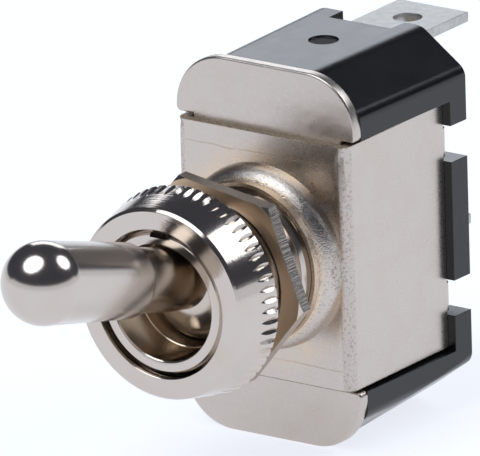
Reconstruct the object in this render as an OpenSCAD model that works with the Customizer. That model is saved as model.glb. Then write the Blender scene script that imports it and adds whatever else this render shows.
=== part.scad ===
// Panel toggle switch, single pole, two blade terminals, millimetres.
// The bushing axis is the Y axis: the lever is on the -Y side, the terminals on the +Y side.
// The origin is where that axis meets the front face of the steel frame, with +Z up.

/* [Case] */
// Width of the moulded case
case_w = 17; // [16.6:0.1:18]
// Height of the moulded case
case_h = 29.5; // [28.6:0.1:31]
// Distance from the frame's front face to the rear face of the case
case_rear = 14.9; // [14.6:0.1:16]
// Width of the case at its open front, where its sides have drawn in
case_front_w = 16.2; // [16:0.1:16.6]
// Depth of the two rear channels that the frame's tabs fold into
channel_depth = 2.15; // [1.6:0.05:2.2]

/* [Frame] */
// Width over the two flanges
frame_w = 15.5; // [15.2:0.1:15.6]
// Height of the frame
frame_h = 19.3; // [18:0.1:19.6]
// Thickness of the steel sheet
sheet = 0.8; // [0.6:0.05:0.8]
// Height of the drawn boss round the bushing
boss_rise = 2.3; // [2.2:0.1:2.6]

/* [Bushing and nuts] */
// Major diameter of the 15/32-32 bushing thread
thread_d = 11.9; // [11.8:0.05:11.9]
// Distance from the frame's front face to the end of the bushing
bushing_l = 13.3; // [13:0.1:14]
// Width of the hexagon nut across its flats
hex_af = 14.29; // [13.8:0.01:14.6]
// Thickness of the hexagon nut
hex_t = 1.15; // [1:0.05:1.6]
// Largest diameter of the knurled nut
face_nut_d = 16.44; // [15.8:0.02:17]
// Length of the knurled nut
face_nut_l = 3.9; // [3.4:0.1:4.2]
// Number of grooves in the knurl
knurl_n = 60; // [40:2:72]
// Space between the two nuts, where the panel goes
panel_gap = 3.05; // [1:0.05:3.4]

/* [Lever] */
// Angle of the lever to each side of the bushing axis
throw = 15; // [12:0.5:15]
// Distance from the pivot to the centre of the lever's round tip
lever_l = 22.5; // [18:0.5:26]
// Radius of the round tip
tip_r = 3.2; // [3:0.05:3.4]
// Radius of the ball that the lever turns on
ball_r = 4.8; // [4.78:0.01:4.8]

/* [Contacts] */
// Angle of the rocker to each side of its middle position
rocker_tilt = 10; // [8:0.5:10]
// Width of the blade terminals
blade_w = 6.35; // [6.2:0.05:6.4]
// Length of the blades behind the case
blade_l = 7.9; // [7:0.05:8.5]

/* [Hidden] */
$fn = 96;

// Running gaps: between turning parts, and between parts that only sit together
run_gap = 0.04;
seat_gap = 0.03;
// How far a cutting solid runs past the face that it cuts
past = 1;

// Plate and case stations along Y
plate_t = 0.8;
plate_front = sheet;
plate_rear = plate_front + plate_t;
flange_rear = 12.82;
cavity_floor = 11.2;
chamber_half_w = 5.2;
chamber_half_h = 11.6;
channel_floor = case_rear - channel_depth;
upper_channel = [5.1, 7.95];
lower_channel = [-7.1, -4.3];

// Insulator between the bushing and the contact chamber
insulator_t = 0.4;
insulator_half_w = 6.05;
insulator_half_h = 12.55;

// Bushing and ball
thread_r = thread_d / 2;
pivot_y = -6.3;
mouth_r = 4.58;
seat_y = pivot_y - 2.56;
bore_r = ball_r + run_gap;
collar_r = 6.34;
pin_r = 0.8;

// Nuts
face_nut_front = -bushing_l - 0.3;
face_nut_rear = face_nut_front + face_nut_l;
hex_front = face_nut_rear + panel_gap;
nut_bore_r = thread_r + run_gap;

// Tail of the lever, plunger and rocker
tail_r = 2.3;
tail_l = 8.2;
tail_bore_start = 1.2;
plunger_r = 1.3;
plunger_l = 11.7;
plunger_front = 5;
rocker_y = 8.4;
rocker_w = 4.6;
rocker_steps = 12;
strip = 0.8;
wing_back = 0.72;
wing_z = 3.6;
arm_z = 10.7;
arm_front = 2.884;
trunnion_r = 0.9;
trunnion_w = 7.2;
shank_r = 0.55;
post_r = 1.4;
post_y = rocker_y - 0.12;
button_z = 9.5;
button_r = 1.2;
button_h = 0.7;
dome_r = 3.5;

// Where the closed button touches, from the same rotation that the rocker makes
dome_centre_y = -(arm_front - strip - button_h) - dome_r;
closed_y = rocker_y + dome_centre_y * cos(rocker_tilt) + button_z * sin(rocker_tilt) + dome_r + seat_gap;
contact_z = 9.9;
fixed_h = 0.8;

// Blade terminals
blade_t = 0.8;
end_blade_z = 13.5;
end_blade_x = 0.2;
end_leg = 5.2;
common_blade_z = -2.6;
common_leg = 5.6;
blade_hole = 3.5;
blade_hole_r = 1.1;
rivet_r = 1.1;
rivet_head_r = 1.8;
rivet_head_h = 0.55;
rivet_head_dome = 3.4;

plated = [0.79, 0.77, 0.76];
steel = [0.6, 0.6, 0.6];
black = [0.10, 0.10, 0.11];
brass = [0.80, 0.66, 0.36];
tinned = [0.86, 0.86, 0.84];
copper = [0.80, 0.50, 0.32];

function unit(v) = v / norm(v);

// Points of one rounded corner b, between its neighbours a and c
function corner(a, b, c, r, n) =
    let (u = unit(a - b), v = unit(c - b), half = acos(u * v) / 2)
    let (m = b + unit(u + v) * r / sin(half), p = b + u * r / tan(half), q = b + v * r / tan(half))
    let (a0 = atan2(p[1] - m[1], p[0] - m[0]), a1 = atan2(q[1] - m[1], q[0] - m[0]))
    let (turn = a1 - a0 > 180 ? a1 - a0 - 360 : a1 - a0 < -180 ? a1 - a0 + 360 : a1 - a0)
    [for (i = [0:n]) m + r * [cos(a0 + turn * i / n), sin(a0 + turn * i / n)]];

// An outline with each corner rounded to its own radius, 0 for a sharp one
function rounded(pts, r, n = 6) =
    [for (i = [0:len(pts) - 1]) each (r[i] == 0 ? [pts[i]] :
        corner(pts[(i + len(pts) - 1) % len(pts)], pts[i], pts[(i + 1) % len(pts)], r[i], n))];

function arc(cx, cy, r, a0, a1, n = 10) =
    [for (i = [0:n]) [cx + r * cos(a0 + (a1 - a0) * i / n), cy + r * sin(a0 + (a1 - a0) * i / n)]];

function mirrored(pts) = [for (i = [len(pts) - 1:-1:0]) [-pts[i][0], pts[i][1]]];

// Outline in X and Z, from y0 to y1
module along_y(y0, y1) translate([0, y1, 0]) rotate([90, 0, 0]) linear_extrude(y1 - y0) children();

// Outline in Y and Z, centred across X
module along_x(w) rotate([90, 0, 90]) linear_extrude(w, center = true) children();

// Radius and Y, turned about the Y axis
module turned() rotate([-90, 0, 0]) rotate_extrude() children();

module rod_y(r, y0, y1, x = 0, z = 0) translate([x, y0, z]) rotate([-90, 0, 0]) cylinder(h = y1 - y0, r = r);

module rod_x(r, w, y, z = 0) translate([0, y, z]) rotate([0, 90, 0]) cylinder(h = w, r = r, center = true);

module box(x0, x1, y0, y1, z0, z1) translate([x0, y0, z0]) cube([x1 - x0, y1 - y0, z1 - z0]);

// The case's section, with its bevelled corners. The left side is widened by spare.
module case_section(top, bottom, spare = 0) {
    half = case_w / 2;
    flat = 4.6;
    bevel = 2.85;
    flat_r = 1.6;
    side_r = 1.2;
    right = [[flat, top], [half, top - bevel], [half, bottom + bevel], [flat, bottom]];
    left = [for (p = mirrored(right)) [p[0] - spare, p[1]]];
    radii = [flat_r, side_r, side_r, flat_r];
    polygon(rounded(concat(right, left), concat(radii, radii)));
}

module case_base() {
    top = case_h / 2;
    inner = frame_w / 2 - sheet - seat_gap;
    recess_z = frame_h / 2 + 0.25;
    bottom_draft = 3.6;
    side_draft = atan((case_w - case_front_w) / 2 / (case_rear - plate_rear));
    spare = 3;
    insulator_gap = 0.05;
    ramp_start = channel_floor + 0.25;
    ramp_run = 3;
    ramp_drop = 1.105;
    ramp_w = 5.65;
    ramp_x = 0.2;
    mark = [0.2, 8.25];
    mark_r = 1.15;
    mark_deep = 0.15;
    color(black) difference() {
        // Square to the frame, then drawn in along the bottom and along each side
        intersection() {
            along_y(plate_rear, case_rear) case_section(top, -top);
            translate([0, plate_rear, 0]) rotate([bottom_draft, 0, 0])
                along_y(-spare, case_rear + spare) case_section(top + spare, -top);
            intersection_for (side = [0, 1]) mirror([side, 0, 0])
                translate([case_w / 2, case_rear, 0]) rotate([0, 0, -side_draft])
                    translate([-case_w / 2, 0, 0])
                        along_y(-case_rear, past) case_section(top, -top, spare);
        }
        // Recesses for the flanges, and the channels for their folded tabs
        for (side = [0, 1]) mirror([side, 0, 0])
            box(inner, case_w, 0, flange_rear + seat_gap, -recess_z, recess_z);
        for (c = [upper_channel, lower_channel])
            box(-case_w, case_w, channel_floor, case_rear + past, c[0], c[1]);
        // Contact chamber, and the step that the insulator lies in
        box(-chamber_half_w, chamber_half_w, 0, cavity_floor, -chamber_half_h, chamber_half_h);
        box(-insulator_half_w - insulator_gap, insulator_half_w + insulator_gap, 0, plate_rear + insulator_t,
            -insulator_half_h - insulator_gap, insulator_half_h + insulator_gap);
        // Ramp at the rear of the top, above the end terminal
        translate([ramp_x, ramp_start, top]) along_x(ramp_w)
            polygon([[0, 0.01], [ramp_run, -ramp_drop], [ramp_run, past], [0, past]]);
        // Round ejector mark
        translate([mark[0], mark[1], top - mark_deep]) cylinder(h = past, r = mark_r);
        for (z = [0, contact_z]) rod_y(rivet_r, cavity_floor - past, case_rear + past, z = z);
    }
    // Moulded post that the open side of the rocker rests on
    color(black) rod_y(post_r, post_y, cavity_floor + 0.2, z = -contact_z);
}

module end_plate() {
    right = 8.1;
    left = -8.3;
    top = case_h / 2;
    clear = 0.2;
    neck = frame_w / 2 - sheet - clear;
    shoulder = frame_h / 2 + clear;
    top_r = 4.4;
    notch_r = 0.45;
    lobe = [[neck, shoulder], [right, shoulder], [right, top],
            [left, top], [left, shoulder], [-neck, shoulder]];
    radii = [0, notch_r, top_r, top_r, notch_r, 0];
    lower = [for (i = [len(lobe) - 1:-1:0]) [lobe[i][0], -lobe[i][1]]];
    color(plated) along_y(plate_front, plate_rear) difference() {
        polygon(rounded(concat(lobe, lower), concat(radii, radii), 10));
        circle(r = collar_r + seat_gap);
        // Relief notch in each inside corner
        for (x = [-neck, neck], z = [-shoulder, shoulder]) translate([x, z]) circle(r = notch_r);
    }
}

module frame_bracket() {
    half = frame_w / 2;
    inside = half - sheet;
    fold = channel_floor + sheet;
    bend = 0.75;
    tab_reach = 3.4;
    tab_gap = 0.3;
    shell = [[-half, 0], [half, 0], [half, flange_rear], [inside, flange_rear],
             [inside, sheet], [-inside, sheet], [-inside, flange_rear], [-half, flange_rear]];
    tab = [[inside, sheet * 2], [half, sheet * 2], [half, fold], [half - tab_reach, fold],
           [half - tab_reach, channel_floor], [inside, channel_floor]];
    hole_r = thread_r + seat_gap;
    lip = hole_r + 0.33;
    // Section of the drawn boss, from the hole outwards: its shoulder turns about one centre
    boss = [5.65, -0.55];
    outer_r = 1.55;
    inner_r = outer_r - sheet;
    shoulder_a = -64;
    floor_y = -1.2;
    dome = concat([[hole_r, sheet], [hole_r, -boss_rise], [lip, -boss_rise]],
                  arc(boss[0], boss[1], outer_r, shoulder_a, 0), [[boss[0] + outer_r, sheet]]);
    hollow = concat([[0, sheet + past], [0, floor_y], [hole_r, floor_y]],
                    arc(boss[0], boss[1], inner_r, shoulder_a, 0), [[boss[0] + inner_r, sheet + past]]);
    color(plated) difference() {
        union() {
            linear_extrude(frame_h, center = true)
                polygon(rounded(shell, [bend, bend, 0, 0, 0, 0, 0, 0], 8));
            for (side = [0, 1], c = [upper_channel, lower_channel])
                mirror([side, 0, 0]) translate([0, 0, c[0] + tab_gap])
                    linear_extrude(c[1] - c[0] - 2 * tab_gap) polygon(rounded(tab, [0, 0, bend, 0, 0, 0]));
            turned() polygon(dome);
        }
        turned() polygon(hollow);
        rod_y(hole_r, -boss_rise - past, sheet + past);
    }
}

module bushing() {
    rear = plate_rear;
    chamfer = 0.61;
    collar_y = -0.6;
    keyway_x = [-0.85, 0.95];
    keyway_z = 5.1;
    groove_out = 5.3;
    groove_half = pin_r + run_gap;
    seat_a = asin((pivot_y - seat_y) / bore_r);
    throat = [bore_r * cos(seat_a) + 0.08, -10.3];
    // Outside from the front chamfer to the collar, then the bore back to the mouth
    outside = [[mouth_r, -bushing_l], [thread_r - chamfer, -bushing_l], [thread_r, -bushing_l + chamfer],
               [thread_r, collar_y - 0.1], [collar_r, collar_y], [collar_r, rear], [bore_r, rear]];
    color(plated) difference() {
        turned() polygon(concat(outside, arc(0, pivot_y, bore_r, 0, -seat_a, 8), [throat]));
        // Keyway along the top of the thread
        box(keyway_x[0], keyway_x[1], -bushing_l - past, -boss_rise, keyway_z, thread_r + past);
        // Two grooves that the ends of the pivot pin slide down
        for (side = [0, 1]) mirror([side, 0, 0]) {
            box(bore_r - 0.5, groove_out, pivot_y, rear + past, -groove_half, groove_half);
            intersection() {
                rod_x(groove_half, 2 * groove_out, pivot_y);
                box(bore_r - 0.5, groove_out, pivot_y - past, pivot_y + past, -past, past);
            }
        }
    }
}

module hex_nut() {
    turn = 51;
    corner_r = hex_af / sqrt(3);
    outer = corner_r + 0.1;
    bevel = [0.35, 0.24];
    lead = 0.3;
    color(plated) difference() {
        intersection() {
            rotate([0, -turn, 0]) rotate([-90, 0, 0]) translate([0, 0, hex_front])
                cylinder(h = hex_t, r = corner_r, $fn = 6);
            turned() polygon([[0, hex_front], [corner_r - bevel[0], hex_front],
                              [outer, hex_front + bevel[1]], [outer, 0], [0, 0]]);
        }
        rod_y(nut_bore_r, hex_front - past, hex_front + hex_t + past);
        turned() polygon([[0, hex_front - 0.01], [nut_bore_r + lead, hex_front - 0.01],
                          [nut_bore_r, hex_front + lead], [0, hex_front + lead]]);
    }
}

module face_nut() {
    rear_r = face_nut_d / 2;
    front_r = rear_r - 0.77;
    mouth = 5.8;
    mouth_l = 0.5;
    corner_w = 0.22;
    corner_l = 0.25;
    rear_break = 0.08;
    lead = 0.3;
    groove_deep = 0.35;
    groove_r = rear_r - groove_deep;
    groove_top = rear_r + 0.6;
    groove_half = 0.9;
    color(plated) difference() {
        turned() polygon([[mouth, face_nut_front], [front_r - corner_w, face_nut_front],
                          [front_r, face_nut_front + corner_l], [rear_r, face_nut_rear - rear_break],
                          [rear_r - rear_break, face_nut_rear], [nut_bore_r + lead, face_nut_rear],
                          [nut_bore_r, face_nut_rear - lead], [nut_bore_r, face_nut_front + mouth_l + 0.22],
                          [mouth, face_nut_front + mouth_l]]);
        // Each groove is cut straight along the axis, so it runs out on the cone in a point
        for (i = [0:knurl_n - 1]) rotate([0, i * 360 / knurl_n, 0])
            along_y(face_nut_front + mouth_l, face_nut_rear + past)
                polygon([[groove_r, 0], [groove_top, groove_half], [groove_top, -groove_half]]);
    }
}

// Carries the lever and what moves with it: drawn straight, then tilted about the pivot
module lever_frame() translate([0, pivot_y, 0]) rotate([-throw, 0, 0]) children();

module bat_lever() {
    tail_a = 61.4;
    neck_a = 28.5;
    neck = [ball_r * sin(neck_a) + 0.02, -4.9];
    waist = [2.42, -6.2];
    shoulder = 12.05;
    shoulder_r = 2.88;
    tip_a = 8;
    bevel = 0.2;
    profile = concat(arc(0, 0, ball_r, tail_a, -90 + neck_a, 20),
                     [neck, waist, [2.5, -shoulder + 0.6], [2.62, -shoulder + 0.15], [shoulder_r, -shoulder]],
                     arc(0, -lever_l, tip_r, tip_a, -90, 10));
    color(plated) lever_frame() difference() {
        turned() polygon(concat([[0, tail_l], [tail_r - bevel, tail_l], [tail_r, tail_l - bevel]], profile));
        rod_y(plunger_r + run_gap, tail_bore_start, tail_l + past);
        rod_x(pin_r, 2 * ball_r + past, 0);
    }
}

module pivot_pin() {
    length = 10.4;
    color(steel) rod_x(pin_r, length, pivot_y);
}

module ball_retainer() {
    front = pivot_y + 2.7;
    rear = front + 1.4;
    opening_r = 3.62;
    color(brass) difference() {
        rod_y(bore_r, front, rear);
        translate([0, pivot_y, 0]) sphere(r = ball_r + run_gap);
        rod_y(opening_r, front - past, rear + past);
    }
}

module lever_spring() {
    wire = 0.17;
    coil_r = 1.02;
    turns = 6;
    steps = 16;
    start = tail_bore_start + wire;
    length = plunger_front - tail_bore_start - 2 * wire;
    last = turns * steps;
    // Coil that rises from one flat end to the other, with eight sides to the wire
    function rise(i) = let (t = i / steps) t < 1 ? t * wire * 2 : t > turns - 1 ?
        length - (turns - t) * wire * 2 : wire * 2 + (t - 1) * (length - 4 * wire) / (turns - 2);
    rings = [for (i = [0:last]) let (a = i * 360 / steps)
        [for (k = [0:7]) let (b = k * 45, r = coil_r + wire * cos(b))
            [r * cos(a), start + rise(i) + wire * sin(b), r * sin(a)]]];
    sides = [for (i = [0:last - 1], k = [0:7]) [i * 8 + k, (i + 1) * 8 + k,
                                                (i + 1) * 8 + (k + 1) % 8, i * 8 + (k + 1) % 8]];
    color([0.55, 0.56, 0.58]) lever_frame()
        polyhedron([for (r = rings) each r],
                   concat([[for (k = [0:7]) k]], sides, [[for (k = [7:-1:0]) last * 8 + k]]));
}

module plunger() {
    bevel = 0.15;
    color([0.92, 0.91, 0.86]) lever_frame()
        turned() polygon(concat([[0, plunger_front], [plunger_r - bevel, plunger_front],
                                 [plunger_r, plunger_front + bevel]],
                                arc(0, plunger_l, plunger_r, 0, 90)));
}

module insulator_sheet() {
    slot_half_w = 2.75;
    slot_half_h = 5;
    rear = plate_rear + insulator_t;
    color([0.55, 0.20, 0.12]) difference() {
        box(-insulator_half_w, insulator_half_w, plate_rear, rear, -insulator_half_h, insulator_half_h);
        box(-slot_half_w, slot_half_w, 0, rear + past, -slot_half_h, slot_half_h);
    }
}

// Carries the rocker and its button: drawn level, then tilted about the trunnions
module rocker_frame() translate([0, rocker_y, 0]) rotate([rocker_tilt, 0, 0]) children();

// Where the centre of the plunger's round end stands in the rocker's frame, with the lever at angle t
function end_at(t) =
    let (y = pivot_y + plunger_l * cos(t) - rocker_y, z = plunger_l * sin(t), a = rocker_tilt * t / throw)
    [y * cos(a) - z * sin(a), y * sin(a) + z * cos(a)];

// The curve that the round end follows, set off by a distance along its normal
function wing_at(t, off) =
    let (run = unit(end_at(t + 0.1) - end_at(t - 0.1)))
    end_at(t) + off * [run[1], -run[0]];

module rocker_arm() {
    face = [for (i = [0:rocker_steps]) wing_at(throw * i / rocker_steps, plunger_r + run_gap)];
    back = [for (i = [rocker_steps:-1:2]) wing_at(throw * i / rocker_steps, plunger_r + run_gap + strip)];
    half = concat(face, [[-arm_front, wing_z], [-arm_front, arm_z], [-arm_front + strip, arm_z],
                         [-arm_front + strip, wing_z + 0.3]], back, [[-wing_back, 0]]);
    color(copper) rocker_frame() difference() {
        union() {
            along_x(rocker_w) polygon(half);
            along_x(rocker_w) polygon([for (i = [len(half) - 1:-1:0]) [half[i][0], -half[i][1]]]);
            rod_x(trunnion_r, trunnion_w, 0);
        }
        rod_y(shank_r, -arm_front - past, past, z = button_z);
    }
}

module moving_contact() color(tinned) rocker_frame() {
    seat = -arm_front + strip;
    intersection() {
        rod_y(button_r, seat, seat + button_h, z = button_z);
        translate([0, seat + button_h - dome_r, button_z]) sphere(r = dome_r);
    }
    rod_y(shank_r, -arm_front - 0.15, seat + 0.1, z = button_z);
}

module rocker_cradle() {
    half_w = 3.5;
    half_h = 2.6;
    cheek_front = 7.2;
    cheek_top = 1.9;
    cheek_r = 0.6;
    slot = trunnion_r + run_gap;
    cheek = [[cavity_floor, -half_h], [cheek_front, -cheek_top],
             [cheek_front, cheek_top], [cavity_floor, half_h]];
    color(brass) difference() {
        union() {
            box(-half_w, half_w, cavity_floor - strip, cavity_floor, -half_h, half_h);
            for (side = [-1, 1]) translate([side * (half_w - strip / 2), 0, 0])
                along_x(strip) polygon(rounded(cheek, [0, cheek_r, cheek_r, 0]));
        }
        rod_x(slot, 3 * half_w, rocker_y);
        box(-half_w - past, half_w + past, 0, rocker_y, -slot, slot);
        rod_y(rivet_r, cavity_floor - strip - past, cavity_floor + past);
    }
}

// Shank through the rear wall, with a set head on the terminal
module rivet(front, z) {
    seat = case_rear + blade_t;
    rod_y(rivet_r, front, seat + 0.1, z = z);
    intersection() {
        rod_y(rivet_head_r, seat, seat + rivet_head_h, z = z);
        translate([0, seat + rivet_head_h - rivet_head_dome, z]) sphere(r = rivet_head_dome);
    }
}

module common_rivet() {
    head_r = 1.7;
    head_h = 0.4;
    front = cavity_floor - strip;
    color(brass) {
        rivet(front, 0);
        rod_y(head_r, front - head_h, front);
    }
}

module end_rivet() {
    collar = 1.45;
    front = closed_y + fixed_h;
    color(brass) {
        rivet(front, contact_z);
        rod_y(collar, front, cavity_floor, z = contact_z);
    }
}

module fixed_contact() {
    fixed_r = 1.6;
    color(tinned) rod_y(fixed_r, closed_y, closed_y + fixed_h, z = contact_z);
}

// Flat leg riveted to the case, and a blade that stands off it. The blade's outer face is at
// height z, and the leg runs from there towards dir, for leg_l. Its middle is at x.
module blade_terminal(x, z, dir, leg_l) {
    end = case_rear + blade_l;
    inner = z + dir * blade_t;
    foot = case_rear + blade_t;
    leg_end = z + dir * leg_l;
    outer_r = 0.95;
    inner_r = 0.15;
    end_r = 0.12;
    profile = [[case_rear, z], [end, z], [end, inner], [foot, inner], [foot, leg_end], [case_rear, leg_end]];
    translate([x, 0, 0]) difference() {
        along_x(blade_w) polygon(rounded(profile, [outer_r, end_r, end_r, inner_r, 0, 0]));
        translate([0, end - blade_hole, inner]) cylinder(h = 4 * blade_t, r = blade_hole_r, center = true);
    }
}

module end_terminal() color(tinned) difference() {
    blade_terminal(end_blade_x, end_blade_z, -1, end_leg);
    rod_y(rivet_r, 0, case_rear + 2 * blade_t, z = contact_z);
}

module common_terminal() color(tinned) difference() {
    blade_terminal(0, common_blade_z - blade_t, 1, common_leg);
    rod_y(rivet_r, 0, case_rear + 2 * blade_t);
}

case_base();
end_plate();
frame_bracket();
bushing();
hex_nut();
face_nut();
bat_lever();
pivot_pin();
ball_retainer();
lever_spring();
plunger();
insulator_sheet();
rocker_arm();
moving_contact();
rocker_cradle();
common_rivet();
common_terminal();
fixed_contact();
end_rivet();
end_terminal();
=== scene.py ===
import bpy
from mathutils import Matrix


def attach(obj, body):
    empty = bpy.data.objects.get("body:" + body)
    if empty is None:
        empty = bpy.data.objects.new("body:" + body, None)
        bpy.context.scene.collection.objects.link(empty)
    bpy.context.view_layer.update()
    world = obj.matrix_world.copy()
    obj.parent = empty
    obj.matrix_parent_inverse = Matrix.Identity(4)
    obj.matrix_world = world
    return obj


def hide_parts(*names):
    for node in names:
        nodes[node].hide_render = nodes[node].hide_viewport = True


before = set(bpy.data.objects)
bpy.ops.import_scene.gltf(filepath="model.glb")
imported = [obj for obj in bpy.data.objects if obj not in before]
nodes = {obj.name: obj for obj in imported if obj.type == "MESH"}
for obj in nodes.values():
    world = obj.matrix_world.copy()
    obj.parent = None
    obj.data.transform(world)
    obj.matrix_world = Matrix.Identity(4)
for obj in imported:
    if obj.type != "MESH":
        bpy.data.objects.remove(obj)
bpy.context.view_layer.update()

import math

import bmesh
import bpy
from mathutils import Matrix, Vector

mm = 0.001
scene = bpy.context.scene
print("frame loaded:", len(nodes), "nodes")


class Sock:
    # Wraps an output socket, so that + - * / ** on it add Math or Vector Math nodes
    def __init__(self, tree, out=None):
        self.tree = tree
        self.out = out

    def node(self, kind, settings=None, values=None, out=0):
        made = self.tree.nodes.new("ShaderNode" + kind)
        for key, value in (settings or {}).items():
            if key == "stops":
                fillRamp(made.color_ramp, value)
            else:
                setattr(made, key, value)
        for key, value in (values or {}).items():
            if isinstance(value, Sock):
                self.tree.links.new(value.out, made.inputs[key])
            else:
                made.inputs[key].default_value = value
        return Sock(self.tree, made.outputs[out] if len(made.outputs) else None)

    def maths(self, operation, a, b):
        isVector = any(isinstance(v, Sock) and v.out.type == "VECTOR" for v in (a, b))
        if isVector:
            a, b = [(v, v, v) if isinstance(v, (int, float)) else v for v in (a, b)]
            return self.node("VectorMath", {"operation": operation}, {0: a, 1: b})
        return self.node("Math", {"operation": operation}, {0: a, 1: b})

    def __add__(self, other):
        return self.maths("ADD", self, other)

    def __radd__(self, other):
        return self.maths("ADD", other, self)

    def __sub__(self, other):
        return self.maths("SUBTRACT", self, other)

    def __rsub__(self, other):
        return self.maths("SUBTRACT", other, self)

    def __mul__(self, other):
        return self.maths("MULTIPLY", self, other)

    def __rmul__(self, other):
        return self.maths("MULTIPLY", other, self)

    def __truediv__(self, other):
        return self.maths("DIVIDE", self, other)

    def __rtruediv__(self, other):
        return self.maths("DIVIDE", other, self)

    def __pow__(self, other):
        return self.maths("POWER", self, other)

    def __rpow__(self, other):
        return self.maths("POWER", other, self)

    def __abs__(self):
        return self.node("Math", {"operation": "ABSOLUTE"}, {0: self})

    def mix(self, share, first, second):
        return self.node("Mix", {"data_type": "RGBA"}, {0: share, 6: first, 7: second}, 2)

    def ramp(self, low, high, start=0.0, end=1.0):
        # A smooth step: start below low, end above high
        return self.node("MapRange", {"interpolation_type": "SMOOTHSTEP", "clamp": True},
                         {0: self, 1: low, 2: high, 3: start, 4: end})

    def noise(self, place, scale, detail=2.0, rough=0.5):
        return self.node("TexNoise", {}, {"Vector": place, "Scale": scale, "Detail": detail, "Roughness": rough})


def fillRamp(ramp, stops):
    while len(ramp.elements) > 1:
        ramp.elements.remove(ramp.elements[-1])
    for number, (place, colour) in enumerate(stops):
        element = ramp.elements[0] if number == 0 else ramp.elements.new(place)
        element.position = place
        element.color = colour


def grey(level):
    return (level, level, level, 1.0)


def startFinish(name):
    # A material with an empty tree, its Sock, and the place on the piece in millimetres
    material = bpy.data.materials.new(name)
    material.use_nodes = True
    material.node_tree.nodes.clear()
    sock = Sock(material.node_tree)
    place = sock.node("TexCoord", out=3) * 1000.0
    axes = [sock.node("SeparateXYZ", {}, {0: place}, axis) for axis in range(3)]
    return material, sock, place, axes


def endFinish(material, sock, **sockets):
    values = {key.replace("_", " "): value for key, value in sockets.items()}
    shader = sock.node("BsdfPrincipled", {}, values)
    sock.node("OutputMaterial", {}, {"Surface": shader})
    return material


def bump(sock, height, depth):
    # depth is what a height of 1 stands for, in millimetres
    return sock.node("Bump", {}, {"Strength": 1.0, "Distance": depth * mm, "Height": height})


def output(sock, shader):
    return sock.node("OutputMaterial", {}, {"Surface": shader})


nickel = {
    "tone": (0.605, 0.545, 0.495, 1.0),
    "warm": (0.52, 0.42, 0.30, 1.0),
    "gold": (0.36, 0.26, 0.15, 1.0),
    "pit": (0.27, 0.245, 0.225, 1.0),
    "straw": (0.74, 0.58, 0.42, 1.0),
}


def plainNickel(name, rough, grain=0.0, peel=0.0, tone=None, warmShare=0.0):
    # Bright nickel plate: a slow unevenness of tone and gloss, and a faint pebbling
    material, sock, place, (x, y, z) = startFinish(name)
    slow = sock.noise(place, 0.35, 3.0)
    tone = tone or nickel["tone"]
    colour = sock.mix(slow.ramp(0.35, 0.75, 0.0, warmShare), tone, nickel["warm"])
    fine = sock.noise(place, 3.2, 3.0, 0.6)
    height = fine * peel + sock.noise(place, 22.0, 2.0) * grain
    gloss = rough + (slow - 0.5) * (rough * 0.6)
    return endFinish(material, sock, Base_Color=colour, Metallic=1.0, Roughness=gloss,
                     Normal=bump(sock, height, 0.01))


def radius(x, z):
    return (x * x + z * z) ** 0.5


def turnedNickel(name, rough, rings, flats=None, paintedBoreShade=0.0):
    # Nickel over turned brass: fine rings round the bushing's axis, and drawn lines along a nut's flats
    material, sock, place, (x, y, z) = startFinish(name)
    r = radius(x, z)
    slow = sock.noise(place, 0.4, 2.0)
    along = sock.node("CombineXYZ", {}, {0: r + slow * 0.05, 1: y, 2: 0.0})
    fine = sock.noise(along, 6.5, 2.0, 0.6)
    broad = sock.noise(along, 2.0, 2.0, 0.5)
    speck = sock.noise(place, 4.0, 3.0, 0.6)
    lines = fine * 1.0 + broad * 0.6
    if flats:
        side = y.ramp(flats + 0.05, flats + 0.1)
        drawn = sock.noise(place * (7.0, 0.25, 7.0), 1.0, 3.0, 0.7)
        lines = sock.node("Mix", {"data_type": "FLOAT"}, {0: side, 2: lines, 3: drawn * 1.6})
    height = lines + speck * 0.25
    paintedReflectionFace = y.ramp(flats + 0.005, flats + 0.02, 1.0, 0.0) if flats else 0.0
    # Inside the bore behind the bushing's mouth the colour is painted warmer and darker: painted shade in the recess
    inside = y.ramp(-13.25, -13.1) * r.ramp(4.55, 4.7, 1.0, 0.0)
    colour = sock.mix(slow.ramp(0.4, 0.8, 0.0, 0.2), nickel["tone"], nickel["warm"])
    colour = sock.mix(inside * paintedBoreShade, colour, nickel["warm"])
    # The hex nut's front face is painted straw, a painted warm reflection; it is also made rougher
    if flats:
        colour = sock.mix(paintedReflectionFace, colour, nickel["straw"])
    return endFinish(material, sock, Base_Color=colour, Metallic=1.0, Roughness=rough + (fine - 0.5) * rough * 0.5 + paintedReflectionFace * 0.22,
                     Normal=bump(sock, height, rings))


def plastic(name, colour, rough, pebble):
    material, sock, place, axes = startFinish(name)
    fine = sock.noise(place, 6.0, 4.0, 0.6)
    wide = sock.noise(place, 0.6, 2.0)
    return endFinish(material, sock, Base_Color=colour, Roughness=rough + (wide - 0.5) * 0.06,
                     Normal=bump(sock, fine, pebble))


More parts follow.
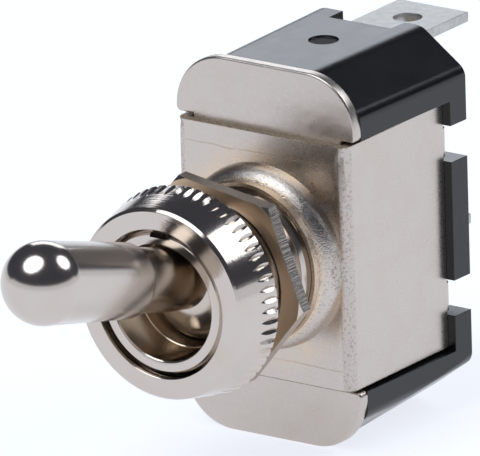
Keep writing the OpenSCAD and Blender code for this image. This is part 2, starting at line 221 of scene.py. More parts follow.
def frameFinish(name):
    # Plate over pressed steel: sheared rims gone golden, pebbled bends, two faint set lines, and painted golden
    # reflections round the boss
    material, sock, place, (x, y, z) = startFinish(name)
    absX, absZ = abs(x), abs(z)
    slow = sock.noise(place, 0.45, 4.0)
    mottle = sock.noise(place, 2.6, 4.0, 0.65)
    r = radius(x, z)
    rim = absZ.ramp(9.585, 9.63)
    bend = absX.ramp(6.95, 7.1) * y.ramp(0.7, 1.0, 1.0, 0.0)
    boss = r.ramp(7.15, 7.3, 1.0, 0.0) * y.ramp(-0.1, 0.0, 1.0, 0.0)
    front = y.ramp(0.02, 0.06, 1.0, 0.0) * y.ramp(-0.06, -0.02)
    # Straw patches on the front face round the boss: a painted golden reflection of the boss and nuts
    round = front * r.ramp(7.3, 9.6, 1.0, 0.0) * slow.ramp(0.32, 0.6)
    wander = z + (sock.noise(place, 0.25, 1.0) - 0.5) * 0.5
    line = abs(abs(wander) - 8.05).ramp(0.015, 0.06, 1.0, 0.0) * front * slow.ramp(0.35, 0.55)
    grit = sock.noise(place, 6.5, 2.0, 0.7)
    dirt = rim * grit.ramp(0.35, 0.6)
    pits = (bend + boss * 0.6) * sock.noise(place, 4.5, 2.0, 0.7).ramp(0.54, 0.62)
    colour = sock.mix(slow.ramp(0.45, 0.8, 0.0, 0.18), nickel["tone"], nickel["warm"])
    colour = sock.mix(round * 0.7, colour, nickel["straw"])
    # The boss's top next to the hex nut is painted straw: a painted warm reflection in the gap behind the nut
    colour = sock.mix(boss * r.ramp(6.5, 6.7, 1.0, 0.0) * 0.6, colour, nickel["straw"])
    colour = sock.mix(dirt * 0.9, colour, nickel["gold"])
    colour = sock.mix(line * 0.5, colour, nickel["gold"])
    colour = sock.mix(pits * 0.6, colour, nickel["pit"])
    pebble = sock.noise(place, 9.0, 2.0, 0.6)
    brush = sock.noise(place * (0.7, 3.0, 9.0), 1.6, 4.0, 0.6)
    height = pebble * (bend * 3.0 + rim * 3.0 + boss * 2.8) + mottle * 0.25 + brush * 0.14 - line * 0.5
    gloss = 0.28 - boss * 0.06 + rim * 0.16 + bend * 0.06 + (mottle - 0.5) * 0.12
    return endFinish(material, sock, Base_Color=colour, Metallic=1.0, Roughness=gloss,
                     Normal=bump(sock, height, 0.012))


def plateFinish(name):
    # Satin plate of the end plate, with soft cloudy patches
    material, sock, place, (x, y, z) = startFinish(name)
    slow = sock.noise(place, 0.5, 4.0, 0.6)
    mottle = sock.noise(place, 3.0, 4.0, 0.65)
    specks = sock.noise(place, 7.0, 1.0).ramp(0.74, 0.78)
    colour = sock.mix(slow.ramp(0.45, 0.85, 0.0, 0.2), nickel["tone"], nickel["warm"])
    colour = sock.mix(specks * 0.4, colour, nickel["gold"])
    height = mottle * 0.3 + sock.noise(place, 11.0, 2.0) * 0.12 + sock.noise(place, 0.28, 2.0) * 9.0
    return endFinish(material, sock, Base_Color=colour, Metallic=1.0, Roughness=0.30 + (mottle - 0.5) * 0.2,
                     Normal=bump(sock, height, 0.010))


def caseFinish(name):
    # Moulded black with a faint grain, and a rough mark where the ejector pin stood
    material, sock, place, (x, y, z) = startFinish(name)
    reach = radius(x - 0.2, y - 8.25)
    mark = reach.ramp(1.02, 1.12, 1.0, 0.0) * z.ramp(14.3, 14.5)
    grit = sock.noise(place, 5.5, 3.0, 0.7)
    wide = sock.noise(place, 0.5, 3.0)
    streak = sock.noise(place * (4.0, 0.4, 4.0), 1.2, 3.0, 0.6)
    colour = sock.mix(grit.ramp(0.62, 0.8, 0.0, 0.35), (0.0085, 0.009, 0.0115, 1.0), (0.028, 0.030, 0.036, 1.0))
    colour = sock.mix(mark * grit.ramp(0.3, 0.7), colour, (0.02, 0.02, 0.021, 1.0))
    gloss = 0.20 + (wide - 0.5) * 0.10 + (streak - 0.5) * 0.05 + mark * 0.45
    height = grit * (0.25 + mark * 9.0) + sock.noise(place, 0.8, 2.0) * 0.8
    return endFinish(material, sock, Base_Color=colour, Roughness=gloss, Normal=bump(sock, height, 0.008))


def leverFinish(name):
    # Bright turned and plated bat, hazier towards its neck
    material, sock, place, (x, y, z) = startFinish(name)
    along = (y + 6.3) * -0.966 + z * 0.259
    slow = sock.noise(place, 0.5, 3.0)
    fine = sock.noise(place, 2.5, 3.0, 0.6)
    neck = along.ramp(11.9, 12.3, 1.0, 0.0)
    rings = sock.noise(sock.node("CombineXYZ", {}, {0: along, 1: slow * 0.4, 2: 0.0}), 6.0, 3.0, 0.6)
    # The neck is also painted warmer: a painted warm reflection of the nuts beside it
    colour = sock.mix(neck * 0.25 + slow.ramp(0.45, 0.8, 0.0, 0.12), nickel["tone"], nickel["warm"])
    height = fine * 0.22 + rings * (0.05 + neck * 0.06)
    return endFinish(material, sock, Base_Color=colour, Metallic=1.0,
                     Roughness=0.16 + neck * 0.05 + (fine - 0.5) * 0.06, Normal=bump(sock, height, 0.012))


def tinFinish(name):
    # Dull tinned brass with a cloudy, speckled face
    material, sock, place, (x, y, z) = startFinish(name)
    cloud = sock.noise(place, 1.4, 5.0, 0.65)
    speck = sock.noise(place, 6.0, 2.0).ramp(0.6, 0.7)
    colour = sock.mix(cloud.ramp(0.3, 0.75), (0.46, 0.455, 0.44, 1.0), (0.64, 0.63, 0.61, 1.0))
    colour = sock.mix(speck * 0.35, colour, (0.34, 0.33, 0.31, 1.0))
    height = cloud * 0.5 + sock.noise(place, 8.0, 3.0) * 0.25
    return endFinish(material, sock, Base_Color=colour, Metallic=1.0, Roughness=0.42 + (cloud - 0.5) * 0.2,
                     Normal=bump(sock, height, 0.012))


finishes = {
    "case_black": caseFinish("caseBlack"),
    "frame_nickel": frameFinish("frameNickel"),
    "plate_nickel": plateFinish("plateNickel"),
    "bushing_nickel": turnedNickel("bushingNickel", 0.15, 0.006, paintedBoreShade=0.6),
    "hex_nickel": turnedNickel("hexNickel", 0.15, 0.009, flats=-6.65),
    "face_nickel": turnedNickel("faceNickel", 0.12, 0.010),
    "lever_nickel": leverFinish("leverNickel"),
    "pin_steel": plainNickel("pinSteel", 0.2),
    "bare_brass": plainNickel("bareBrass", 0.25, tone=(0.75, 0.55, 0.24, 1.0)),
    "spring_steel": plainNickel("springSteel", 0.25, tone=(0.45, 0.45, 0.47, 1.0)),
    "nylon": plastic("nylon", (0.85, 0.83, 0.76, 1.0), 0.45, 0.001),
    "fibre": plastic("fibre", (0.30, 0.09, 0.05, 1.0), 0.7, 0.004),
    "copper": plainNickel("copper", 0.25, tone=(0.86, 0.46, 0.30, 1.0)),
    "silver": plainNickel("silver", 0.22, tone=(0.85, 0.84, 0.81, 1.0)),
    "tin": tinFinish("tinPlate"),
}
print("finishes made:", len(finishes))


def arc(cx, cy, r, start, end, steps):
    turns = [math.radians(start + (end - start) * i / steps) for i in range(steps + 1)]
    return [(cx + r * math.cos(a), cy + r * math.sin(a)) for a in turns]


def fillet(points, radii, steps=6, closed=True):
    # Rounds each corner of an outline; a radius of 0 leaves it sharp
    made = []
    count = len(points)
    for i, (point, r) in enumerate(zip(points, radii)):
        if r == 0 or (not closed and i in (0, count - 1)):
            made.append(tuple(point))
            continue
        before, here, after = Vector(points[i - 1]), Vector(point), Vector(points[(i + 1) % count])
        u, v = (before - here).normalized(), (after - here).normalized()
        half = math.acos(max(-1.0, min(1.0, u.dot(v)))) / 2
        centre = here + (u + v).normalized() * r / math.sin(half)
        p, q = here + u * r / math.tan(half) - centre, here + v * r / math.tan(half) - centre
        swing = p.angle_signed(q)
        for k in range(steps + 1):
            turn = Matrix.Rotation(-swing * k / steps, 2) @ p
            made.append(tuple(centre + turn))
    return made


def skin(rows, wrapRows=False, wrapColumns=True):
    # Joins rows of points, all of one length, with four-sided faces
    width = len(rows[0])
    faces = []
    for i in range(len(rows) if wrapRows else len(rows) - 1):
        a, b = i * width, ((i + 1) % len(rows)) * width
        for k in range(width if wrapColumns else width - 1):
            n = (k + 1) % width
            faces.append((a + k, a + n, b + n, b + k))
    return [p for row in rows for p in row], faces


def turnedRows(profile, segments):
    # Radius and Y, turned about the Y axis
    turns = [2 * math.pi * k / segments for k in range(segments)]
    return [[(r * math.cos(a), y, r * math.sin(a)) for a in turns] for r, y in profile]


def leverPlace(point):
    # From the lever's own frame, straight about its pivot, to where it rests
    tilt = Matrix.Rotation(math.radians(-leverSizes["throw"]), 3, "X")
    return tilt @ Vector(point) + Vector((0.0, leverSizes["pivotY"], 0.0))


def buildMesh(name, points, faces, flip=False):
    mesh = bpy.data.meshes.new(name)
    mesh.from_pydata([Vector(p) * mm for p in points], [], faces)
    work = bmesh.new()
    work.from_mesh(mesh)
    bmesh.ops.remove_doubles(work, verts=work.verts, dist=0.0005 * mm)
    bmesh.ops.dissolve_degenerate(work, edges=work.edges, dist=0.0002 * mm)
    bmesh.ops.recalc_face_normals(work, faces=work.faces)
    work.to_mesh(mesh)
    work.free()
    return mesh


def carve(mesh, cutters):
    # Cuts solid blocks out of a closed mesh
    body = bpy.data.objects.new("blank", mesh)
    scene.collection.objects.link(body)
    tools = []
    for cutter in cutters:
        tool = bpy.data.objects.new("cutter", cutter)
        scene.collection.objects.link(tool)
        cut = body.modifiers.new("cut", "BOOLEAN")
        cut.operation, cut.solver, cut.object = "DIFFERENCE", "EXACT", tool
        tools.append(tool)
    bpy.context.view_layer.update()
    made = bpy.data.meshes.new_from_object(body.evaluated_get(bpy.context.evaluated_depsgraph_get()))
    for item in [body, *tools]:
        bpy.data.objects.remove(item)
    return made


def block(x0, x1, y0, y1, z0, z1):
    corners = [(x, y, z) for x in (x0, x1) for y in (y0, y1) for z in (z0, z1)]
    faces = [(0, 1, 3, 2), (4, 6, 7, 5), (0, 4, 5, 1), (2, 3, 7, 6), (0, 2, 6, 4), (1, 5, 7, 3)]
    return buildMesh("block", corners, faces)


def rodX(r, x0, x1, y, z=0.0, segments=48):
    turns = [2 * math.pi * k / segments for k in range(segments)]
    rows = [[(x, y + r * math.cos(a), z + r * math.sin(a)) for a in turns] for x in (x0, x1)]
    points, faces = skin(rows)
    faces += [tuple(range(segments)), tuple(range(2 * segments - 1, segments - 1, -1))]
    return buildMesh("rod", points, faces)


def place(name, mesh, slot, body, stands, sharp=30.0, edge=0.0, edgeSteps=2):
    # Puts a made mesh on its body, in place of the solids that it stands for
    mesh.materials.clear()
    mesh.materials.append(finishes[slot])
    for face in mesh.polygons:
        face.material_index = 0
    mesh.shade_smooth()
    mesh.set_sharp_from_angle(angle=math.radians(sharp))
    piece = bpy.data.objects.new(name, mesh)
    scene.collection.objects.link(piece)
    if edge:
        roundEdges(piece, edge, edgeSteps, sharp)
    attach(piece, body)
    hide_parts(*stands)
    return piece


def roundEdges(piece, width, steps, sharp):
    bevel = piece.modifiers.new("edges", "BEVEL")
    bevel.width = width * mm
    bevel.segments = steps
    bevel.limit_method = "ANGLE"
    bevel.angle_limit = math.radians(sharp)
    bevel.miter_outer = "MITER_ARC"
    weighted = piece.modifiers.new("normals", "WEIGHTED_NORMAL")
    weighted.keep_sharp = False
    weighted.weight = 60


def dress(node, slot, edge=0.0, steps=2, sharp=30.0):
    # Gives a solid its finish and breaks its edges
    piece = nodes[node]
    piece.data.materials.clear()
    piece.data.materials.append(finishes[slot])
    for face in piece.data.polygons:
        face.material_index = 0
        face.use_smooth = True
    weld = piece.modifiers.new("weld", "WELD")
    weld.merge_threshold = 0.001 * mm
    if edge:
        flat = piece.modifiers.new("flat", "DECIMATE")
        flat.decimate_type = "DISSOLVE"
        flat.angle_limit = math.radians(0.5)
        roundEdges(piece, edge, steps, sharp)
    else:
        split = piece.modifiers.new("creases", "EDGE_SPLIT")
        split.split_angle = math.radians(sharp)
    return piece


leverSizes = {
    "pivotY": -6.3, "throw": 15.0, "ball": 4.8, "tipY": -22.5, "tipR": 3.2,
    "shoulder": 12.05, "shoulderR": 2.88, "neckR": 2.42, "tail": 8.2, "tailR": 2.3,
    "boreR": 1.34, "boreStart": 1.2, "pinR": 0.8, "segments": 144,
}


def makeLever(s):
    joinAngle = 28.5
    neck = s["ball"] * math.sin(math.radians(joinAngle))
    outline = [(0.0, s["boreStart"]), (s["boreR"], s["boreStart"]), (s["boreR"], s["tail"]),
               (s["tailR"] - 0.2, s["tail"]), (s["tailR"], s["tail"] - 0.2)]
    outline += arc(0, 0, s["ball"], 90 - 28.6, -90 + joinAngle, 60)
    shank = [(neck + 0.02, -4.9), (s["neckR"], -6.2), (2.5, -s["shoulder"] + 0.6),
             (2.62, -s["shoulder"] + 0.15), (s["shoulderR"], -s["shoulder"]),
             (s["tipR"] * math.cos(math.radians(8)), s["tipY"] + s["tipR"] * math.sin(math.radians(8)))]
    outline += fillet(shank, [0, 1.5, 0.5, 0.12, 0.12, 0], 6, closed=False)
    outline += arc(0, s["tipY"], s["tipR"], 8, -90, 36)[1:]
    points, faces = skin(turnedRows(outline, s["segments"]))
    mesh = buildMesh("lever", [leverPlace(p) for p in points], faces)
    pinHole = rodX(s["pinR"], -6.0, 6.0, s["pivotY"])
    return carve(mesh, [pinHole])


leverPiece = place("leverBat", makeLever(leverSizes), "lever_nickel", "lever", ["bat_lever"], sharp=24.0)
print("lever made")


faceNut = {
    "front": -13.6, "length": 3.9, "lipR": 5.8, "frontR": 7.45, "rearR": 8.22,
    "grooveR": 7.87, "grooves": 60, "grooveHalf": 0.26, "grooveDepth": 0.2, "boreR": 5.99, "landSteps": 3,
}


def leaf(s, y, start, end):
    # Depth of a groove along its length: pointed at its start, deepest past the middle, shallower at the rear
    run = (y - start) / (end - start)
    return s["grooveDepth"] * math.sin(math.pi * 0.85 * run) ** 0.8 if run > 0.01 else 0.0


def makeFaceNut(s):
    front, rear = s["front"], s["front"] + s["length"]
    coneStart, coneEnd = front + 0.25, rear - 0.08
    growth = (s["rearR"] - s["frontR"]) / (coneEnd - coneStart)
    grooveStart = coneStart + (s["grooveR"] - s["frontR"]) / growth
    inner = [(s["boreR"], front + 0.72), (s["lipR"], front + 0.5), (s["lipR"], front + 0.04),
             (s["lipR"] + 0.04, front)]
    corner = fillet([(s["lipR"] + 0.04, front), (s["frontR"] - 0.22, front), (s["frontR"], coneStart),
                     (s["rearR"], coneEnd)], [0, 0.12, 0.18, 0], 5, closed=False)[1:-1]
    stations = [(r, y, 0.0) for r, y in inner + [(6.3, front), (6.8, front)] + corner]
    steps = [coneStart + (grooveStart - coneStart) * k / 4 for k in range(2, 5)]
    steps += [grooveStart + (coneEnd - grooveStart) * k / 14 for k in range(1, 15)]
    stations += [(s["frontR"] + growth * (y - coneStart), y, leaf(s, y, grooveStart, rear)) for y in steps]
    lastR = s["rearR"] - 0.1
    stations += [(s["rearR"] - 0.03, rear - 0.04, leaf(s, rear - 0.04, grooveStart, rear)),
                 (lastR, rear, leaf(s, rear, grooveStart, rear))]
    stations += [(r, y, 0.0) for r, y in [(s["grooveR"] - 0.4, rear), (s["boreR"] + 0.3, rear), (s["boreR"], rear - 0.3)]]
    rows = []
    pitch = 2 * math.pi / s["grooves"]
    for r, y, depth in stations:
        half = max(s["grooveHalf"] * depth / s["grooveDepth"], 0.02) / r
        row = []
        for k in range(s["grooves"]):
            middle = k * pitch
            land = [half + (pitch - 2 * half) * i / s["landSteps"] for i in range(s["landSteps"] + 1)]
            row.append((r - depth, middle))
            row += [(r, middle + a) for a in land]
        rows.append([(q * math.cos(a), y, q * math.sin(a)) for q, a in row])
    points, faces = skin(rows, wrapRows=True)
    return buildMesh("faceNut", points, faces)


faceNutPiece = place("knurledNut", makeFaceNut(faceNut), "face_nickel", "face_nut", ["face_nut"], sharp=26.0)
print("knurled nut made")


hexNut = {"front": -6.65, "thick": 1.15, "flats": 14.29, "corner": 51.0, "boreR": 5.99, "chamfer": 0.35, "perSide": 24}


def makeHexNut(s):
    front, rear = s["front"], s["front"] + s["thick"]
    reach = s["flats"] / math.sqrt(3)
    cone = reach - s["chamfer"]
    angles = [s["corner"] + 60 * i + 60 * k / s["perSide"] for i in range(6) for k in range(s["perSide"])]
    columns = []
    for a in angles:
        across = (a - s["corner"]) % 60 - 30
        r = s["flats"] / 2 / math.cos(math.radians(across))
        cut = max(0.0, (r - cone) * 0.53)
        profile = [(s["boreR"], front + 0.3), (s["boreR"] + 0.3, front), (6.6, front), (min(r, cone) - 0.05, front),
                   (min(r, cone), front + 0.001), (r, front + max(cut, 0.03)), (r, rear - 0.03), (r - 0.03, rear),
                   (s["boreR"] + 0.2, rear), (s["boreR"], rear - 0.2)]
        turn = math.radians(a)
        columns.append([(q * math.cos(turn), y, q * math.sin(turn)) for q, y in profile])
    rows = [[column[k] for column in columns] for k in range(len(columns[0]))]
    points, faces = skin(rows, wrapRows=True)
    return buildMesh("hexNut", points, faces)


hexPiece = place("hexagonNut", makeHexNut(hexNut), "hex_nickel", "hex_nut", ["hex_nut"], sharp=18.0)
print("hexagon nut made")


bushing = {
    "front": -13.3, "rear": 1.6, "major": 5.95, "minor": 5.46, "pitch": 0.794, "threadEnd": -2.35,
    "mouthR": 4.58, "chamferR": 5.3, "seatY": -8.86, "boreR": 4.84, "collarR": 6.34, "pivotY": -6.3,
    "bandY": -10.3, "segments": 144, "keyX": (-0.85, 0.95), "keyZ": 5.1,
}


def makeBushing(s):
    # The thread's rows climb with the helix, so that crest and root stay sharp
    shape = [(0.0, 0.0), (0.14, 0.0), (0.2, 0.06), (0.46, 0.94), (0.52, 1.0), (0.66, 1.0), (0.72, 0.94), (0.94, 0.06)]
    count = s["segments"]
    turnsLong = int((s["threadEnd"] - s["front"]) / s["pitch"]) + 3
    threadRows = []
    for turn in range(-1, turnsLong):
        for share, rise in shape:
            row = []
            for k in range(count + 1):
                y = s["front"] + s["pitch"] * (turn + share + k / count)
                y = min(max(y, s["front"]), s["threadEnd"])
                r = s["minor"] + (s["major"] - s["minor"]) * rise
                r = min(r, s["chamferR"] + (y - s["front"]) * 0.95)
                if y >= s["threadEnd"] - 0.35:
                    r = s["minor"] + (r - s["minor"]) * (s["threadEnd"] - y) / 0.35
                turnAngle = 2 * math.pi * k / count
                row.append((r * math.cos(turnAngle), y, r * math.sin(turnAngle)))
            threadRows.append(row)
    threadPoints, threadFaces = skin(threadRows, wrapColumns=False)
    seatTurn = math.degrees(math.asin((s["pivotY"] - s["seatY"]) / s["boreR"]))
    seat = arc(0, s["pivotY"], s["boreR"], -seatTurn, 0, 14)
    bandR = seat[0][0] + 0.08
    inside = [(s["minor"], s["threadEnd"]), (s["major"], s["threadEnd"] + 0.02), (s["major"], -0.7), (s["collarR"], -0.6),
              (s["collarR"], s["rear"]), (s["boreR"], s["rear"])]
    inside += list(reversed(seat)) + [(bandR, s["bandY"]), (bandR + 0.06, s["bandY"] - 0.05),
                                      (s["mouthR"] - 0.05, s["front"] + 0.12), (s["mouthR"] + 0.02, s["front"] + 0.03),
                                      (s["mouthR"] + 0.08, s["front"]), (s["chamferR"], s["front"])]
    insidePoints, insideFaces = skin(turnedRows(inside, count))
    offset = len(threadPoints)
    faces = threadFaces + [tuple(v + offset for v in face) for face in insideFaces]
    mesh = buildMesh("bushing", threadPoints + insidePoints, faces)
    cutters = [block(*s["keyX"], s["front"] - 1, -2.3, s["keyZ"], 7.0)]
    for side in (-1, 1):
        cutters.append(block(side * 4.8 - 0.5, side * 4.8 + 0.5, s["pivotY"], s["rear"] + 1, -0.84, 0.84))
    return carve(mesh, cutters)


bushingPiece = place("threadedBushing", makeBushing(bushing), "bushing_nickel", "switch_body", ["bushing"], sharp=28.0)
print("bushing made")


frameSizes = {
    "half": 7.75, "height": 19.3, "sheet": 0.8, "bend": 0.75, "flangeRear": 12.82, "holeR": 5.98,
    "rise": 2.3, "lipR": 6.31, "domeR": 1.68, "domeCentre": (5.55, -0.22), "blend": 0.07,
    "tabFloor": 12.75, "tabs": ((-6.8, -4.6), (5.4, 7.65)), "tabReach": 3.4, "sideSteps": 64, "topSteps": 56,
}


def frameBase(s, along):
    # The folded sheet's outside, by distance along it from the middle: place and inward normal
    flat = s["half"] - s["bend"]
    side = math.copysign(1.0, along)
    run = abs(along)
    quarter = s["bend"] * math.pi / 2
    if run <= flat:
        return Vector((along, 0.0)), Vector((0.0, 1.0))
    if run <= flat + quarter:
        turn = (run - flat) / s["bend"]
        spot = Vector((side * (flat + s["bend"] * math.sin(turn)), s["bend"] * (1 - math.cos(turn))))
        return spot, Vector((-side * math.sin(turn), math.cos(turn)))
    return Vector((side * s["half"], s["bend"] + run - flat - quarter)), Vector((-side, 0.0))


def bossHeight(s, r):
    # How far the drawn boss stands at radius r
    cx, cy = s["domeCentre"]
    start = cx + s["domeR"] * math.cos(math.radians(62))
    if r <= s["lipR"]:
        return -s["rise"]
    if r < start:
        top = cy - s["domeR"] * math.sin(math.radians(62))
        return -s["rise"] + (r - s["lipR"]) / (start - s["lipR"]) * (top + s["rise"])
    if r < cx + s["domeR"] - 0.004:
        return cy - math.sqrt(max(0.0, s["domeR"] ** 2 - (r - cx) ** 2))
    return cy + (r - (cx + s["domeR"] - 0.004)) * 9.0


def softMin(a, b, width):
    # The lower of two heights, with a round blend where they cross
    share = max(0.0, min(1.0, 0.5 + 0.5 * (b - a) / width))
    return b + (a - b) * share - width * share * (1 - share)


def makeFrame(s):
    flat = s["half"] - s["bend"]
    edge = flat + s["bend"] * math.pi / 2
    halfHeight = s["height"] / 2
    cornerTurn = math.degrees(math.atan2(halfHeight, edge))
    angles = []
    for start, end, steps in ((-cornerTurn, cornerTurn, s["sideSteps"]), (cornerTurn, 180 - cornerTurn, s["topSteps"]),
                              (180 - cornerTurn, 180 + cornerTurn, s["sideSteps"]),
                              (180 + cornerTurn, 360 - cornerTurn, s["topSteps"])):
        angles += [start + (end - start) * k / steps for k in range(steps)]
    radii = [s["holeR"], s["holeR"] + 0.04, s["lipR"] - 0.1, s["lipR"] - 0.03, s["lipR"]]
    radii += [s["lipR"] + 0.02 * k for k in range(1, 4)] + [6.45 + 0.05 * k for k in range(11)]
    radii += [7.0 + 0.025 * k for k in range(1, 8)] + [7.18 + 0.02 * k for k in range(1, 9)] + [7.36, 7.42, 7.5]
    radii = sorted(set(round(r, 4) for r in radii))
    rings, inner = [], []
    for r in radii:
        ring = []
        for a in angles:
            u, z = r * math.cos(math.radians(a)), r * math.sin(math.radians(a))
            spot, inward = frameBase(s, u)
            reach = math.hypot(spot.x, z)
            y = softMin(spot.y, bossHeight(s, reach), s["blend"]) if reach > 6.9 else min(spot.y, bossHeight(s, reach))
            if r <= s["holeR"] + 0.001:
                y += 0.04
            ring.append((spot.x, y, z))
        rings.append(ring)
    lastR = radii[-1]
    outerRings, innerRings = [], []
    shares = [0.12, 0.26, 0.42, 0.6, 0.8, 1.0]
    for share in [0.0] + shares:
        ring, under = [], []
        for a in angles:
            c, d = math.cos(math.radians(a)), math.sin(math.radians(a))
            limit = min(edge / abs(c) if abs(c) > 1e-9 else 1e9, halfHeight / abs(d) if abs(d) > 1e-9 else 1e9)
            reach = lastR + (limit - lastR) * share
            spot, inward = frameBase(s, reach * c)
            z = reach * d
            r = math.hypot(spot.x, z)
            y = softMin(spot.y, bossHeight(s, r), s["blend"]) if r < 8.0 else spot.y
            ring.append((spot.x, y, z))
            deep = spot + inward * s["sheet"]
            deepX = math.copysign(min(abs(deep.x), s["half"] - s["sheet"]), deep.x)
            under.append((deepX, max(deep.y, s["sheet"]), z))
        if share:
            outerRings.append(ring)
        innerRings.append(under)
    holeUnder = [(s["holeR"] * math.cos(math.radians(a)), s["sheet"], s["holeR"] * math.sin(math.radians(a))) for a in angles]
    under = [holeUnder] + innerRings
    rows = list(reversed(under)) + rings + outerRings
    points, faces = skin(rows)
    width = len(angles)
    outerRow, innerRow = (len(rows) - 1) * width, 0
    # The flanges go on from the ring's two upright sides
    side, top = s["sideSteps"], s["topSteps"]
    sideColumns = (list(range(0, side + 1)), list(range(side + top, 2 * side + top + 1)))
    straight = [0.3, 0.8, 2.0, 4.0, 6.0, 8.0, 10.0, s["flangeRear"] - s["bend"]]
    for columns in sideColumns:
        outLine = [outerRow + c for c in columns]
        inLine = [innerRow + c for c in columns]
        for y in straight:
            newOut, newIn = [], []
            for c in columns:
                x, _, z = points[outerRow + c]
                sign = math.copysign(1.0, x)
                newOut.append(len(points))
                points.append((sign * s["half"], s["bend"] + y, z))
            for c in columns:
                x, _, z = points[outerRow + c]
                sign = math.copysign(1.0, x)
                newIn.append(len(points))
                points.append((sign * (s["half"] - s["sheet"]), s["bend"] + y, z))
            for k in range(len(columns) - 1):
                faces.append((outLine[k], outLine[k + 1], newOut[k + 1], newOut[k]))
                faces.append((inLine[k + 1], inLine[k], newIn[k], newIn[k + 1]))
            for k in (0, len(columns) - 1):
                faces.append((outLine[k], newOut[k], newIn[k], inLine[k]))
            outLine, inLine = newOut, newIn
        for k in range(len(columns) - 1):
            faces.append((outLine[k], outLine[k + 1], inLine[k + 1], inLine[k]))
    # Top and bottom edges of the middle
    for start in (side, 2 * side + top):
        for k in range(top):
            a, b = start + k, (start + k + 1) % width
            faces.append((outerRow + a, outerRow + b, innerRow + b, innerRow + a))
    points, faces = addTabs(s, points, faces)
    return buildMesh("frame", points, faces)


def addTabs(s, points, faces):
    # Each tab is an arm of the flange, folded in on the channel's floor
    inside, outside = s["half"] - s["sheet"], s["half"]
    fold = s["tabFloor"] + s["sheet"]
    outline = [(inside, 11.5), (outside - 0.0005, 11.5), (outside - 0.0005, fold), (outside - s["tabReach"], fold),
               (outside - s["tabReach"], s["tabFloor"] + 0.01), (inside, s["tabFloor"] + 0.01)]
    outline = fillet(outline, [0, 0, 0.75, 0.08, 0.08, 0], 7)
    for side in (-1, 1):
        for z0, z1 in s["tabs"]:
            start = len(points)
            points += [(side * x, y, z) for z in (z0, z1) for x, y in outline]
            count = len(outline)
            for k in range(count):
                n = (k + 1) % count
                faces.append((start + k, start + n, start + count + n, start + count + k))
            faces.append(tuple(range(start, start + count)))
            faces.append(tuple(range(start + 2 * count - 1, start + count - 1, -1)))
    return points, faces


framePiece = place("foldedFrame", makeFrame(frameSizes), "frame_nickel", "switch_body", ["frame_bracket"], sharp=32.0)
print("frame made")


plateSizes = {
    "front": 0.8, "rear": 1.6, "half": 8.2, "shift": -0.1, "top": 14.75, "neck": 6.75, "shoulder": 9.85,
    "cornerR": 4.4, "rim": 0.2, "holeR": 6.37, "rimSteps": 7,
}


def makePlate(s):
    right, left = s["shift"] + s["half"], s["shift"] - s["half"]
    lobe = [(s["neck"], s["shoulder"]), (right, s["shoulder"]), (right, s["top"]),
            (left, s["top"]), (left, s["shoulder"]), (-s["neck"], s["shoulder"])]
    lower = [(x, -z) for x, z in reversed(lobe)]
    radii = [0, 0.45, s["cornerR"], s["cornerR"], 0.45, 0]
    outline = fillet(lobe + lower, radii + radii, 22)
    dense = []
    for i, (x, z) in enumerate(outline):
        nx, nz = outline[(i + 1) % len(outline)]
        steps = max(1, int(math.hypot(nx - x, nz - z) / 0.8))
        dense += [(x + (nx - x) * k / steps, z + (nz - z) * k / steps) for k in range(steps)]
    inward = []
    for i, point in enumerate(dense):
        a, b, c = Vector(dense[i - 1]), Vector(point), Vector(dense[(i + 1) % len(dense)])
        n1, n2 = (b - a).orthogonal().normalized(), (c - b).orthogonal().normalized()
        n = (n1 + n2).normalized()
        inward.append(n / max(0.5, n.dot(n1)))
    if sum(Vector(p).dot(n) for p, n in zip(dense, inward)) > 0:
        inward = [-n for n in inward]
    rows = [[(x, s["rear"], z) for x, z in dense]]
    for k in range(s["rimSteps"] + 1):
        turn = math.pi / 2 * k / s["rimSteps"]
        inset, y = s["rim"] * (1 - math.cos(turn)), s["front"] + s["rim"] * (1 - math.sin(turn))
        rows.append([(p[0] + n.x * inset, y, p[1] + n.y * inset) for p, n in zip(dense, inward)])
    points, faces = skin(rows)
    last = len(points) - len(dense)
    faces += [tuple(range(len(dense))), tuple(range(len(points) - 1, last - 1, -1))]
    drill, sides = skin(turnedRows([(s["holeR"], s["front"] - 1), (s["holeR"], s["rear"] + 1)], 96))
    sides += [tuple(range(96)), tuple(range(191, 95, -1))]
    return carve(buildMesh("endPlate", points, faces), [buildMesh("drill", drill, sides)])


platePiece = place("endPlate", makePlate(plateSizes), "plate_nickel", "switch_body", ["end_plate"], sharp=32.0)
print("end plate made")


dress("case_base", "case_black", 0.34, 4)
dress("end_terminal", "tin", 0.05)
dress("common_terminal", "tin", 0.05)
dress("end_rivet", "bare_brass", 0.05)
dress("common_rivet", "bare_brass", 0.05)
dress("pivot_pin", "pin_steel", 0.05)
dress("ball_retainer", "bare_brass", 0.05)
dress("lever_spring", "spring_steel", sharp=60.0)
dress("plunger", "nylon")
dress("insulator_sheet", "fibre")
dress("rocker_arm", "copper", 0.04)
dress("moving_contact", "silver", 0.04)
dress("rocker_cradle", "bare_brass", 0.05)
dress("fixed_contact", "silver", 0.05)
print("inner pieces dressed")


stage = {
    "floorZ": -0.01481, "floorSize": 6.0, "floorTone": (0.36, 0.38, 0.40, 1.0), "glowTone": (0.90, 0.925, 1.0, 1.0), "seenGlow": 0.86,
    "mirrorGlow": 0.82, "ceiling": (0.062, 0.066, 0.082, 1.0), "cool": (0.88, 0.935, 1.0), "wallTop": 0.165, "wallWay": (0.616, -0.788, 0.0),
    "wallTone": (0.80, 0.84, 0.91, 1.0),
}
lamps = {
    "backLeft": {"way": (-0.48, 0.79, 0.38), "far": 0.9, "size": (0.50, 0.34), "power": 1.05},
    "right": {"way": (0.50, 0.50, 0.707), "far": 0.8, "size": (0.50, 0.42), "power": 1.7},
    "frontLeft": {"way": (-0.176, -0.435, 0.883), "far": 0.8, "size": (0.70, 0.70), "power": 3.4},
}


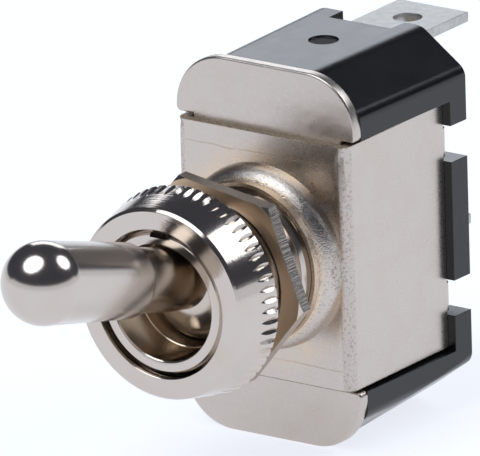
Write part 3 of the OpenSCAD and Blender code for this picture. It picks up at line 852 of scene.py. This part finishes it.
def makeFloor():
    mesh = bpy.data.meshes.new("floor")
    half, z = stage["floorSize"] / 2, stage["floorZ"]
    mesh.from_pydata([(-half, -half, z), (half, -half, z), (half, half, z), (-half, half, z)], [], [(0, 1, 2, 3)])
    floor = bpy.data.objects.new("floor", mesh)
    scene.collection.objects.link(floor)
    material = bpy.data.materials.new("floorWhite")
    material.use_nodes = True
    material.node_tree.nodes.clear()
    sock = Sock(material.node_tree)
    path = [sock.node("LightPath", out=k) for k in (0, 3, 6)]
    mirrored = sock.node("Math", {"operation": "MAXIMUM"}, {0: path[1], 1: path[2]})
    strength = path[0] * stage["seenGlow"] + mirrored * stage["mirrorGlow"]
    diffuse = sock.node("BsdfDiffuse", {}, {"Color": stage["floorTone"]})
    glow = sock.node("Emission", {}, {"Color": stage["glowTone"], "Strength": strength})
    output(sock, sock.node("AddShader", {}, {0: diffuse, 1: glow}))
    mesh.materials.append(material)


def makeWorld():
    world = bpy.data.worlds.new("studio")
    scene.world = world
    world.use_nodes = True
    world.node_tree.nodes.clear()
    sock = Sock(world.node_tree)
    way = sock.node("TexCoord", out=0)
    up = sock.node("SeparateXYZ", {}, {0: way}, 2)
    facing = sock.node("VectorMath", {"operation": "DOT_PRODUCT"}, {0: way, 1: stage["wallWay"]}, 1)
    wall = facing.ramp(-0.25, -0.02, 0.09, stage["wallTop"])  # the pale wall stands on three sides
    below = (up - wall).ramp(-0.02, 0.03, 1.0, 0.0)
    seen = sock.node("LightPath", out=0)
    colour = sock.mix(seen, sock.mix(below, stage["ceiling"], stage["wallTone"]), grey(1.0))
    back = sock.node("Background", {}, {"Color": colour, "Strength": 1.0})
    sock.node("OutputWorld", {}, {"Surface": back})


def makeLamps():
    for name, lamp in lamps.items():
        data = bpy.data.lights.new(name, "AREA")
        data.shape = "RECTANGLE" if name == "backLeft" else "ELLIPSE"
        data.size, data.size_y = lamp["size"]
        data.energy = lamp["power"]
        data.color = stage["cool"]
        holder = bpy.data.objects.new(name, data)
        scene.collection.objects.link(holder)
        way = Vector(lamp["way"]).normalized()
        holder.location = way * lamp["far"]
        holder.rotation_mode = "QUATERNION"
        holder.rotation_quaternion = way.to_track_quat("Z", "Y")
        holder.visible_camera = False


cameraSet = {
    "place": (0.823837, -1.150498, 0.467159), "right": (0.81719949, 0.57571963, -0.02705366),
    "up": (-0.15883887, 0.270087, 0.94964374), "back": (0.55403538, -0.77175121, 0.31216162), "lens": 1487.96,
}


def makeCamera():
    data = bpy.data.cameras.new("camera")
    data.sensor_fit, data.sensor_width = "HORIZONTAL", 36.0
    data.lens = cameraSet["lens"]
    data.clip_start, data.clip_end = 0.05, 20.0
    camera = bpy.data.objects.new("camera", data)
    scene.collection.objects.link(camera)
    columns = [Vector(cameraSet[key]) for key in ("right", "up", "back")]
    turn = Matrix(columns).transposed().to_4x4()
    camera.matrix_world = Matrix.Translation(Vector(cameraSet["place"])) @ turn
    scene.camera = camera


makeFloor()
makeWorld()
makeLamps()
makeCamera()
scene.view_settings.view_transform = "Standard"
print("stage, lamps and camera set")
